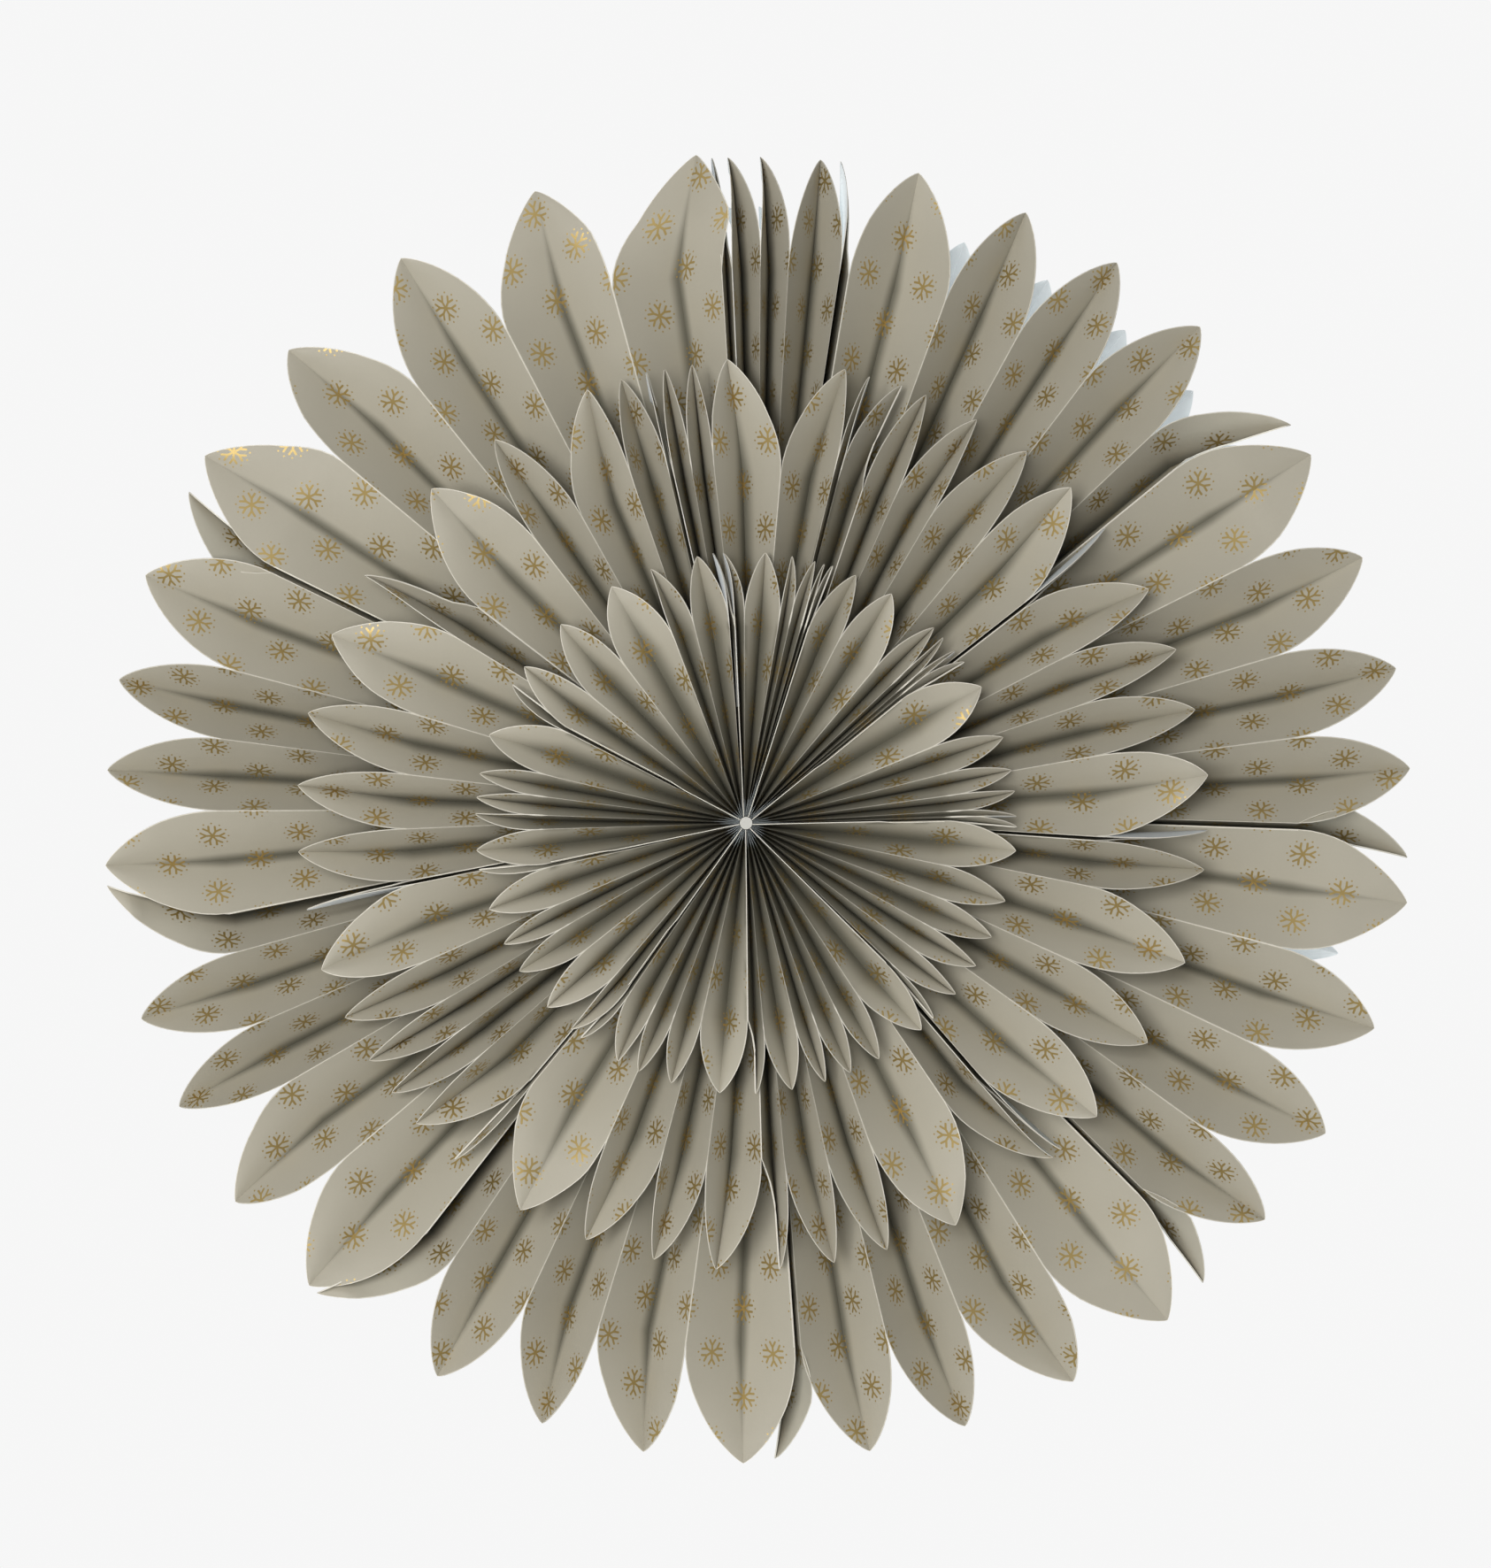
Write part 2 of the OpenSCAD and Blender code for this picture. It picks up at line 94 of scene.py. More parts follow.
INNER_PLEATS = [
    [[10, 0.6], [6.5, 2.6], [16.5, 0.2], [13.2, -1.1], [11.4, -1.5], [1, -3]],
    [[13.6, 1.3], [6.1, 0], [5.3, -0.6], [3.9, -1.7], [9.9, -0.8], [1, -2]],
    [[11, 0.6], [6.3, 0], [8.6, -0.8], [11.2, -1], [5, -2.2], [1.2, -2.4]],
    [[8, 2.2], [6.1, 0.1], [7.7, 0.6], [13.3, 0.6], [4.4, -0.5]],
    [[9, 0.5], [5.4, 0.6], [6.7, 0.2], [7.2, 0], [12.1, 1.3], [1, -1.6]],
    [[7.1, 1.3], [7.7, 1.3], [8.3, 0.3], [9.1, -0.2], [12.9, -0.2], [1, -2]],
    [[1.6, -1.1], [4.4, 1.3], [6.3, 0.4], [8.2, 0.4], [16.6, -0.3], [1, -2.6]],
    [[1.4, -0.8], [2.6, 1], [6.6, -0.7], [13.1, 1], [9.1, -1.5], [1, -1.2]],
    [[1.2, -0.6], [3.4, -0.8], [3, 1], [9.9, 0.3], [2.6, 3], [1.7, 3]],
]
BACK_PLEATS = [
    [[11.6, -4], [11.9, -1.5], [11.1, 0], [11.2, 1.5], [13.5, 1], [0.6, -2.5]],
    [[11.3, -0.2], [7.5, 0], [7.8, 0.5], [11.3, -0.5], [4.3, -4.4]],
    [[8.1, -0.3], [7.2, 0.7], [10.4, 1.9], [12.2, 0.7], [4.1, -4.4]],
    [[9.3, 0.1], [8.3, 1.7], [9.7, 2.2], [12, 0.4], [0.6, -3]],
    [[9.4, 0.5], [8.3, 0.5], [10.3, 1.6], [12.8, 0], [0.6, -2.1]],
    [[9.1, 0.8], [10.2, 0.4], [8.3, 0.5], [5.5, 0], [9.1, 0], [0.6, -2.6]],
    [[8.9, 0.3], [8.7, 0.2], [9.8, 0.9], [12, -0.3], [1, -2.5]],
    [[8, -0.2], [8.5, 0], [8.6, 0], [7.8, 0.3], [6.4, -1.2], [1, 2]],
    [[5.3, 0.6], [2.9, 1.7], [2.9, 1.6], [1.1, 1]],
]

# Beyond the notch the glued half of a petal is trimmed to this share of its width
GLUED_TRIM = 0.55
# Rise towards the front, in degrees, of a free half that is turned outwards all the way
TURNED_RISE = 25
# Shares of the way from the notch to the tip where a petal is fully open, and a glued half fully trimmed
OPEN_AT = 0.5
TRIMMED_AT = 0.25
# Panels of a usual pleat, and of a joint, where one of them lies double
PLEAT_PANELS = 2
JOINT_PANELS = 3

# A panel of paper is a grid: columns across it, rows to the notch and rows beyond it to the tip
PANEL_COLUMNS = 5
NOTCH_ROWS = 12
PETAL_ROWS = 14
# The rows of a petal crowd towards its tip
TIP_CROWD = 1.6
# How far a panel's middle may bow out of flat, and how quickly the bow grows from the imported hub
BELLY = 1.5
BELLY_GROWTH = 1.3
# Share of that bow which the flattest panel still has
LEAST_BOW = 0.1
# The painted shade along a valley is all but gone at the tip, as if the tip lay this far from the valley
FOLD_FADE = 13
# The painted shade spreads further up the walls of a pleat that is less open than this, and less far in a
# wider one
OPEN_PLEAT = 22
LEAST_SPREAD = 0.1
# Ink wears less at the ridges near the hub, as if they lay this much further from the edge
HUB_KEPT = 0.45
HUB_KEPT_R = 40
# Points of neighbouring panels that lie this close become one point
MERGE = 0.004
# Edges that fold less than this, in degrees, are shaded smooth
SMOOTH_ANGLE = 35
# Material slots of a sheet after its printed face
REVERSE_SLOT = 1
CUT_SLOT = 2

# Print: pitch of the snowflakes along and across the pleats
ROW_PITCH = 20.0
COLUMN_PITCH = 35.0
ARMS = 6
# Strokes of one arm, in millimetres along it and to its side, which is mirrored: start, end, half width
ARM_STROKES = [
    ((0.2, 0), (3.4, 0), 0.48),
    ((3, 0), (5.4, 1.45), 0.46),
    ((7.2, 0), (7.25, 0), 0.36),
    ((6.25, 3.6), (6.3, 3.63), 0.36),
]
PRINT_SOFTNESS = 0.1


class Tier:
    """A pleated disc. Lengths in millimetres. facing is 1 if its print faces the front, -1 if the rear."""

    def __init__(self, name, tip_r, notch_r, pleat_w, hub_r, start, rows, centre, ridge_y, facing):
        self.name = name
        self.tip_r = tip_r
        self.notch_r = notch_r
        self.pleat_w = pleat_w
        self.hub_r = hub_r
        self.rows = rows
        self.centre = centre
        self.ridge_y = ridge_y
        self.facing = facing
        self.pleats = [pair for row in rows for pair in row]
        self.joints = [i == len(row) - 1 for row in rows for i in range(len(row))]
        openings = [pair[0] for pair in self.pleats]
        turn = 360 / sum(openings)
        self.ridges = [start + turn * sum(openings[:i]) for i in range(len(openings) + 1)]
        self.panels = [JOINT_PANELS if joint else PLEAT_PANELS for joint in self.joints]
        self.hub_step = 360 / sum(self.panels)
        packed = [self.hub_step * sum(self.panels[:i]) for i in range(len(self.panels) + 1)]
        shift = sum(a - b for a, b in zip(self.ridges, packed)) / len(packed)
        self.hubs = [angle + shift for angle in packed]

    def at_hub(self, angle):
        return point_at(self.hub_r, angle)

    def seen_at(self, radius, angle):
        """Point at a radius about the tier's centre, in a direction seen from the inner tier's centre."""
        way = point_at(1, angle)
        off = Vector((2 * STEP_X - self.centre[0], 0, 2 * STEP_Z - self.centre[1]))
        along = off.dot(way)
        return off + way * (math.sqrt(radius ** 2 - off.dot(off) + along ** 2) - along)


def point_at(radius, angle):
    turn = math.radians(angle)
    return Vector((radius * math.cos(turn), 0, radius * math.sin(turn)))


def mix(a, b, share):
    return a + (b - a) * share


def valley_depth(width, left, right, fall):
    """Depth of a fold between panels of this width that reach left and right sideways to its ridges."""
    open_square = (left.length_squared + right.length_squared) / 2
    return min(width - fall, math.sqrt(max(width ** 2 - open_square, (LEAST_DEPTH * width) ** 2)))


def fold_lines(tier, i, q):
    """Left ridge, valley and right ridge of pleat i, a share q of the way from the hub to the notch."""
    middle = (tier.ridges[i] + tier.ridges[i + 1]) / 2
    hub_valley = tier.hubs[i] + tier.hub_step * (tier.panels[i] - 1)
    valley_angle = middle + tier.pleats[i][1] * NOTCH_LEAN
    left = mix(tier.at_hub(tier.hubs[i]), tier.seen_at(tier.notch_r, tier.ridges[i]), q)
    right = mix(tier.at_hub(tier.hubs[i + 1]), tier.seen_at(tier.notch_r, tier.ridges[i + 1]), q)
    valley = mix(tier.at_hub(hub_valley), tier.seen_at(tier.notch_r, valley_angle), q)
    y = tier.ridge_y + RIDGE_FALL * q
    deep = valley_depth(tier.pleat_w, valley - left, right - valley, RIDGE_FALL * q)
    up = Vector((0, y, 0))
    return left + up, valley + Vector((0, y + deep, 0)), right + up


def petal_lines(tier, i, s):
    """The same three lines beyond the notch, a share s of the way to the tip. The petal opens a little."""
    middle = (tier.ridges[i] + tier.ridges[i + 1]) / 2
    radius = mix(tier.notch_r, tier.tip_r, s)
    left = tier.seen_at(radius, tier.ridges[i])
    right = tier.seen_at(radius, tier.ridges[i + 1])
    valley = tier.seen_at(radius, middle + tier.pleats[i][1] * mix(NOTCH_LEAN, 1, s))
    y = tier.ridge_y + RIDGE_FALL
    deep = valley_depth(tier.pleat_w, valley - left, right - valley, RIDGE_FALL)
    bottom = valley + Vector((0, y + deep, 0))
    opened = min(1, s / OPEN_AT)
    to_left = left + Vector((0, y, 0)) - bottom
    to_right = right + Vector((0, y, 0)) - bottom
    left_way = to_left.normalized()
    trim = 1
    if tier.joints[i]:
        trim = mix(1, GLUED_TRIM, min(1, s / TRIMMED_AT))
        if tier.pleats[i][1] < 0:
            left_way = mix(left_way, Vector((0, -1, 0)), opened).normalized()
    turned = tier.pleats[i][2] if len(tier.pleats[i]) > 2 else 0
    rise = math.radians(TURNED_RISE)
    tangent = point_at(1, middle + 90)
    away = tangent * math.cos(rise) + Vector((0, -math.sin(rise), 0))
    right_way = mix(to_right.normalized(), away, turned * opened).normalized()
    left_edge = bottom + left_way * trim * mix(to_left.length, tier.pleat_w, opened)
    right_edge = bottom + right_way * mix(to_right.length, tier.pleat_w, opened)
    return left_edge, bottom, right_edge


def petal_width(s):
    """Width of a petal a share s of the way to its tip, as a share of the full width."""
    return max(0, 1 - s ** PETAL_FULL) ** PETAL_CLOSE


def station(tier, i, row):
    """Fold lines, petal width and flat distance from the hub at a row of the grid."""
    if row <= NOTCH_ROWS:
        q = row / NOTCH_ROWS
        return fold_lines(tier, i, q), 1, mix(tier.hub_r, tier.notch_r, q)
    s = 1 - (1 - (row - NOTCH_ROWS) / PETAL_ROWS) ** TIP_CROWD
    return petal_lines(tier, i, s), petal_width(s), mix(tier.notch_r, tier.tip_r, s)


def place(tier, point):
    """Point of a tier, stood on the tier's centre and facing the tier's way, in metres."""
    y = point.y if tier.facing > 0 else 2 * tier.ridge_y - point.y
    return Vector((point.x + tier.centre[0], y, point.z + tier.centre[1])) * MM


def deselect_all():
    for item in list(bpy.context.selected_objects):
        item.select_set(False)


def make_active(piece):
    deselect_all()
    piece.select_set(True)
    bpy.context.view_layer.objects.active = piece


def join(pieces, name):
    """Joins pieces to one object at the origin, with the given name."""
    deselect_all()
    for piece in pieces:
        piece.select_set(True)
    bpy.context.view_layer.objects.active = pieces[0]
    bpy.ops.object.join()
    bpy.ops.object.transform_apply(location=True, rotation=True, scale=True)
    joined = bpy.context.view_layer.objects.active
    joined.name = name
    joined.data.name = name
    return joined


def apply_modifier(piece, kind, **settings):
    make_active(piece)
    modifier = piece.modifiers.new(kind.lower(), kind)
    for key, value in settings.items():
        setattr(modifier, key, value)
    bpy.ops.object.modifier_apply(modifier=modifier.name)


def panel(tier, i, right_side, index, glue=0.0, bow=0.0):
    """One panel of pleat i, folded from a flat grid. index counts the panels of its sheet.

    A positive glue lifts the panel's ridge towards the printed side, a negative one lowers its valley.
    """
    rows = NOTCH_ROWS + PETAL_ROWS
    deselect_all()
    bpy.ops.mesh.primitive_grid_add(x_subdivisions=PANEL_COLUMNS, y_subdivisions=rows, size=1)
    grid = bpy.context.active_object
    mesh = grid.data
    edge_mm = mesh.attributes.new("edge_mm", "FLOAT", "POINT")
    fold_mm = mesh.attributes.new("fold_mm", "FLOAT", "POINT")
    flat = {}
    # The printed face of a valley lies one thickness of paper nearer than its reverse
    lift = Vector((0, -PAPER_T, 0))
    # The grid runs from -0.5 to 0.5 both ways
    for vertex in mesh.vertices:
        across = round((vertex.co.x + 0.5) * PANEL_COLUMNS) / PANEL_COLUMNS
        row = round((vertex.co.y + 0.5) * rows)
        (left, valley, right), width, radius = station(tier, i, row)
        valley = valley + lift
        edge = right if right_side else left
        reach = across if right_side else 1 - across
        point = mix(valley, edge, reach * width)
        # Towards the front, or towards the smaller angle on a left half that stands straight out
        normal = (edge - valley).cross(point_at(1, tier.ridges[i])).normalized()
        if not right_side:
            normal = -normal
        if normal.y > 0:
            normal = -normal
        swell = bow * math.sin(math.pi * reach) * math.sin(math.pi * (row / rows) ** BELLY_GROWTH)
        share = 1 - across if glue > 0 else across
        point = point + normal * (swell + glue * share)
        vertex.co = place(tier, point)
        from_valley = reach * width * tier.pleat_w
        if right_side:
            flat_u = index * tier.pleat_w + from_valley
        else:
            flat_u = (index + 1) * tier.pleat_w - from_valley
        flat[vertex.index] = (flat_u, radius)
        kept = HUB_KEPT * max(0, 1 - radius / HUB_KEPT_R)
        edge_mm.data[vertex.index].value = (1 - reach) * width * tier.pleat_w + kept
        # The painted shade along the valley reaches further up a narrow pleat and fades out towards the tip
        tipward = max(0, radius - tier.notch_r) / (tier.tip_r - tier.notch_r)
        spread = LEAST_SPREAD + (right - left).length / OPEN_PLEAT
        fold_mm.data[vertex.index].value = from_valley * spread + FOLD_FADE * tipward
    layer = mesh.uv_layers.active
    for loop in mesh.loops:
        layer.data[loop.index].uv = flat[loop.vertex_index]
    return grid


def folded_sheet(tier, k, materials):
    """Sheet k of a tier, from its doubled panel to its glued one."""
    first = sum(len(row) for row in tier.rows[:k])
    count = len(tier.pleats)
    before = (first + count - 1) % count
    last = first + len(tier.rows[k]) - 1
    chance = random.Random(f"{tier.name} {k}")

    def bow():
        return chance.uniform(LEAST_BOW, 1) * BELLY

    # The two papers of a joint don't bow, so that they stay together
    parts = [panel(tier, before, False, 0, glue=PAPER_T + GLUE_GAP)]
    parts.append(panel(tier, before, True, 1, bow=bow()))
    index = 2
    for i in range(first, last):
        parts.append(panel(tier, i, False, index, bow=bow()))
        parts.append(panel(tier, i, True, index + 1, bow=bow()))
        index += 2
    parts.append(panel(tier, last, False, index, glue=-GLUE_GAP))
    sheet = join(parts, f"{tier.name}_paper_{k + 1}")
    bpy.ops.object.mode_set(mode="EDIT")
    bpy.ops.mesh.select_all(action="SELECT")
    bpy.ops.mesh.remove_doubles(threshold=MERGE * MM)
    bpy.ops.mesh.normals_make_consistent(inside=False)
    bpy.ops.object.mode_set(mode="OBJECT")
    facing = sum(face.normal.y * face.area for face in sheet.data.polygons)
    if facing * tier.facing > 0:
        bpy.ops.object.mode_set(mode="EDIT")
        bpy.ops.mesh.select_all(action="SELECT")
        bpy.ops.mesh.flip_normals()
        bpy.ops.object.mode_set(mode="OBJECT")
    sheet.data.materials.clear()
    for material in materials:
        sheet.data.materials.append(material)
    apply_modifier(sheet, "SOLIDIFY", thickness=PAPER_T * MM, offset=-1, material_offset=REVERSE_SLOT,
                   material_offset_rim=CUT_SLOT)
    make_active(sheet)
    bpy.ops.object.shade_smooth_by_angle(angle=math.radians(SMOOTH_ANGLE))
    return sheet


# Shader helpers

def new_group(name, inputs, outputs):
    """A shader node group with these sockets, and its own input and output nodes."""
    group = bpy.data.node_groups.new(name, "ShaderNodeTree")
    for label, kind, value in inputs:
        socket = group.interface.new_socket(name=label, in_out="INPUT", socket_type=kind)
        if value is not None:
            socket.default_value = value
    for label, kind in outputs:
        group.interface.new_socket(name=label, in_out="OUTPUT", socket_type=kind)
    return group, group.nodes.new("NodeGroupInput"), group.nodes.new("NodeGroupOutput")


def feed(tree, socket, value):
    """Links a socket to another one, or sets it to a constant."""
    if isinstance(value, bpy.types.NodeSocket):
        tree.links.new(value, socket)
    else:
        socket.default_value = value


def math_node(tree, operation, *values):
    node = tree.nodes.new("ShaderNodeMath")
    node.operation = operation
    for socket, value in zip(node.inputs, values):
        feed(tree, socket, value)
    return node.outputs[0]


def vector_node(tree, operation, *values):
    node = tree.nodes.new("ShaderNodeVectorMath")
    node.operation = operation
    for socket, value in zip(node.inputs, values):
        feed(tree, socket, value)
    return node.outputs["Value" if operation in ("DOT_PRODUCT", "LENGTH") else "Vector"]


def ramp(tree, value, low, high, at_low, at_high):
    """Smooth step between two values."""
    node = tree.nodes.new("ShaderNodeMapRange")
    node.interpolation_type = "SMOOTHSTEP"
    feed(tree, node.inputs["Value"], value)
    feed(tree, node.inputs["From Min"], low)
    feed(tree, node.inputs["From Max"], high)
    feed(tree, node.inputs["To Min"], at_low)
    feed(tree, node.inputs["To Max"], at_high)
    return node.outputs["Result"]


def mix_colour(tree, share, a, b):
    node = tree.nodes.new("ShaderNodeMix")
    node.data_type = "RGBA"
    feed(tree, node.inputs["Factor"], share)
    feed(tree, node.inputs["A"], a)
    feed(tree, node.inputs["B"], b)
    return node.outputs["Result"]


def noise(tree, vector, scale, detail, roughness):
    node = tree.nodes.new("ShaderNodeTexNoise")
    feed(tree, node.inputs["Vector"], vector)
    feed(tree, node.inputs["Scale"], scale)
    feed(tree, node.inputs["Detail"], detail)
    feed(tree, node.inputs["Roughness"], roughness)
    return node.outputs["Fac"]


def stroke(tree, point, start, end, half_width):
    """Distance from a point to a straight stroke, less the stroke's half width."""
    way = Vector((end[0] - start[0], end[1] - start[1], 0))
    along = way.normalized()
    from_start = vector_node(tree, "SUBTRACT", point, (start[0], start[1], 0))
    reach = vector_node(tree, "DOT_PRODUCT", from_start, tuple(along))
    reach = math_node(tree, "MINIMUM", math_node(tree, "MAXIMUM", reach, 0.0), way.length)
    scaled = tree.nodes.new("ShaderNodeVectorMath")
    scaled.operation = "SCALE"
    scaled.inputs[0].default_value = tuple(along)
    feed(tree, scaled.inputs["Scale"], reach)
    rest = vector_node(tree, "SUBTRACT", from_start, scaled.outputs["Vector"])
    return math_node(tree, "SUBTRACT", vector_node(tree, "LENGTH", rest), half_width)


def snowflake_group():
    """Mask of a staggered print of six armed snowflakes. Flat holds millimetres on the unfolded sheet."""
    group, given, result = new_group(
        "snowflake_print",
        [("Flat", "NodeSocketVector", None), ("Row Pitch", "NodeSocketFloat", ROW_PITCH),
         ("Column Pitch", "NodeSocketFloat", COLUMN_PITCH), ("Softness", "NodeSocketFloat", PRINT_SOFTNESS)],
        [("Mask", "NodeSocketFloat")])
    split = group.nodes.new("ShaderNodeSeparateXYZ")
    group.links.new(given.outputs["Flat"], split.inputs[0])
    rows = math_node(group, "DIVIDE", split.outputs["Y"], given.outputs["Row Pitch"])
    columns = math_node(group, "DIVIDE", split.outputs["X"], given.outputs["Column Pitch"])
    row_index = math_node(group, "FLOOR", rows)
    parity = math_node(group, "MODULO", row_index, 2.0)
    columns = math_node(group, "ADD", columns, math_node(group, "MULTIPLY", parity, 0.5))
    x = math_node(group, "SUBTRACT", math_node(group, "FRACT", columns), 0.5)
    y = math_node(group, "SUBTRACT", math_node(group, "FRACT", rows), 0.5)
    x = math_node(group, "MULTIPLY", x, given.outputs["Column Pitch"])
    y = math_node(group, "MULTIPLY", y, given.outputs["Row Pitch"])
    length = math_node(group, "SQRT", math_node(
        group, "ADD", math_node(group, "MULTIPLY", x, x), math_node(group, "MULTIPLY", y, y)))
    # The whole round is folded onto half an arm, as the angle from the middle of the nearest arm
    arm = math.radians(360 / ARMS)
    turn = math_node(group, "DIVIDE", math_node(group, "ARCTAN2", x, y), arm)
    turn = math_node(group, "FRACT", math_node(group, "ADD", turn, ARMS + 0.5))
    turn = math_node(group, "ABSOLUTE", math_node(group, "SUBTRACT", turn, 0.5))
    turn = math_node(group, "MULTIPLY", turn, arm)
    point = group.nodes.new("ShaderNodeCombineXYZ")
    group.links.new(math_node(group, "MULTIPLY", length, math_node(group, "COSINE", turn)), point.inputs[0])
    group.links.new(math_node(group, "MULTIPLY", length, math_node(group, "SINE", turn)), point.inputs[1])
    place_in_arm = point.outputs[0]
    strokes = [stroke(group, place_in_arm, start, end, half) for start, end, half in ARM_STROKES]
    nearest = strokes[0]
    for distance in strokes[1:]:
        nearest = math_node(group, "MINIMUM", nearest, distance)
    mask = ramp(group, nearest, 0.0, given.outputs["Softness"], 1.0, 0.0)
    group.links.new(mask, result.inputs["Mask"])
    return group


# Grain of the paper: scales of its fibres and clouds, their shares in the tone and in the relief
FIBRE_SCALE = 900.0
CLOUD_SCALE = 28.0
FIBRE_SHARE = 0.35
CLOUD_RELIEF = 2.0


def paper_grain_group():
    """Fine fibres and slow clouding of paper, as a tone and a height."""
    group, given, result = new_group(
        "paper_grain",
        [("Fibre Scale", "NodeSocketFloat", FIBRE_SCALE), ("Cloud Scale", "NodeSocketFloat", CLOUD_SCALE)],
        [("Tone", "NodeSocketFloat"), ("Height", "NodeSocketFloat")])
    place_in = group.nodes.new("ShaderNodeTexCoord").outputs["Object"]
    fibre = noise(group, place_in, given.outputs["Fibre Scale"], detail=4.0, roughness=0.65)
    cloud = noise(group, place_in, given.outputs["Cloud Scale"], detail=2.0, roughness=0.5)
    tone = math_node(group, "ADD", math_node(group, "MULTIPLY", fibre, FIBRE_SHARE),
                     math_node(group, "MULTIPLY", cloud, 1 - FIBRE_SHARE))
    group.links.new(tone, result.inputs["Tone"])
    height = math_node(group, "ADD", fibre, math_node(group, "MULTIPLY", cloud, CLOUD_RELIEF))
    group.links.new(height, result.inputs["Height"])
    return group


# Worn edges, and the painted shade along valleys, in millimetres. Where a distance isn't given it counts as
# far away.
WEAR_WIDTH = 0.6
BAND_WIDTH = 14.0
FAR_AWAY = 20.0
# The worn width changes along an edge, from this share of WEAR_WIDTH upwards, at this noise scale
RAGGED_LEAST = 0.5
RAGGED_SCALE = 420.0
# Share of the worn width where no ink is left
ALL_WORN = 0.35


def wear_and_valley_shade_group():
    """Where ink has worn off an edge, and the band of painted shade along a valley. Distances are in
    millimetres.
    """
    group, given, result = new_group(
        "edge_wear",
        [("Edge", "NodeSocketFloat", FAR_AWAY), ("Fold", "NodeSocketFloat", FAR_AWAY),
         ("Edge Width", "NodeSocketFloat", WEAR_WIDTH), ("Fold Width", "NodeSocketFloat", BAND_WIDTH)],
        [("Edge Wear", "NodeSocketFloat"), ("Fold Tone", "NodeSocketFloat")])
    place_in = group.nodes.new("ShaderNodeTexCoord").outputs["Object"]
    ragged = noise(group, place_in, RAGGED_SCALE, detail=3.0, roughness=0.6)
    wide = math_node(group, "MULTIPLY", given.outputs["Edge Width"],
                     math_node(group, "ADD", ragged, RAGGED_LEAST))
    bare = math_node(group, "MULTIPLY", wide, ALL_WORN)
    edge = ramp(group, given.outputs["Edge"], bare, wide, 1.0, 0.0)
    # Painted shade in a band along the valley
    fold = ramp(group, given.outputs["Fold"], 0.0, given.outputs["Fold Width"], 1.0, 0.0)
    group.links.new(edge, result.inputs["Edge Wear"])
    group.links.new(fold, result.inputs["Fold Tone"])
    return group


def new_material(name):
    material = bpy.data.materials.new(name)
    material.use_nodes = True
    tree = material.node_tree
    return material, tree, tree.nodes["Principled BSDF"]


def use_group(tree, group, **values):
    """A node that runs a group. Each value goes to the input of its name, with spaces for underscores."""
    node = tree.nodes.new("ShaderNodeGroup")
    node.node_tree = group
    for label, value in values.items():
        feed(tree, node.inputs[label.replace("_", " ")], value)
    return node


def attribute(tree, name):
    node = tree.nodes.new("ShaderNodeAttribute")
    node.attribute_name = name
    return node.outputs["Fac"]


def bump(tree, shader, height, strength, distance):
    node = tree.nodes.new("ShaderNodeBump")
    node.inputs["Strength"].default_value = strength
    node.inputs["Distance"].default_value = distance
    tree.links.new(height, node.inputs["Height"])
    tree.links.new(node.outputs["Normal"], shader.inputs["Normal"])


# Colours of the paper and the print
PRINTED = (0.445, 0.42, 0.345, 1)
PRINTED_DARK = (0.385, 0.36, 0.29, 1)
# Painted shade deep in a valley
PAINTED_VALLEY_SHADE = (0.11, 0.105, 0.075, 1)
WORN = (0.74, 0.71, 0.62, 1)
GOLD = (0.345, 0.255, 0.095, 1)
REVERSE = (0.76, 0.80, 0.81, 1)
REVERSE_DARK = (0.68, 0.72, 0.735, 1)
CUT = (0.80, 0.78, 0.70, 1)
NO_GLOW = (0, 0, 0, 1)
# A painted glow on the reverse stands in for light that comes through the thin sheet where nothing lies
# behind it, far from the hub
THROUGH = 0.22
THROUGH_FROM = 205
THROUGH_TO = 260
# Share of the painted shade colour in the band along a valley, and how metallic and how matt the faces are
BAND_SHARE = 0.88
FOIL_METALLIC = 0.6
FOIL_ROUGHNESS = 0.45
PRINT_ROUGHNESS = 0.62
REVERSE_ROUGHNESS = 0.8
# Height of the paper's relief in metres
PAPER_RELIEF = 0.00012


def printed_paper(grain, flake, wear_and_shade):
    material, tree, shader = new_material("printed_paper")
    texture = use_group(tree, grain)
    sheet_map = tree.nodes.new("ShaderNodeUVMap")
    sheet_map.uv_map = "UVMap"
    print_mask = use_group(tree, flake, Flat=sheet_map.outputs["UV"]).outputs["Mask"]
    worn_and_shaded = use_group(tree, wear_and_shade, Edge=attribute(tree, "edge_mm"), Fold=attribute(tree, "fold_mm"))
    colour = mix_colour(tree, texture.outputs["Tone"], PRINTED_DARK, PRINTED)
    # Painted shade darkens the band along each valley
    band = math_node(tree, "MULTIPLY", worn_and_shaded.outputs["Fold Tone"], BAND_SHARE)
    colour = mix_colour(tree, band, colour, PAINTED_VALLEY_SHADE)
    colour = mix_colour(tree, print_mask, colour, GOLD)
    colour = mix_colour(tree, worn_and_shaded.outputs["Edge Wear"], colour, WORN)
    tree.links.new(colour, shader.inputs["Base Color"])
    bare = math_node(tree, "SUBTRACT", 1.0, worn_and_shaded.outputs["Edge Wear"])
    foil = math_node(tree, "MULTIPLY", print_mask, bare)
    tree.links.new(math_node(tree, "MULTIPLY", foil, FOIL_METALLIC), shader.inputs["Metallic"])
    sheen = ramp(tree, foil, 0.0, 1.0, PRINT_ROUGHNESS, FOIL_ROUGHNESS)
    tree.links.new(sheen, shader.inputs["Roughness"])
    bump(tree, shader, texture.outputs["Height"], strength=0.25, distance=PAPER_RELIEF)
    return material


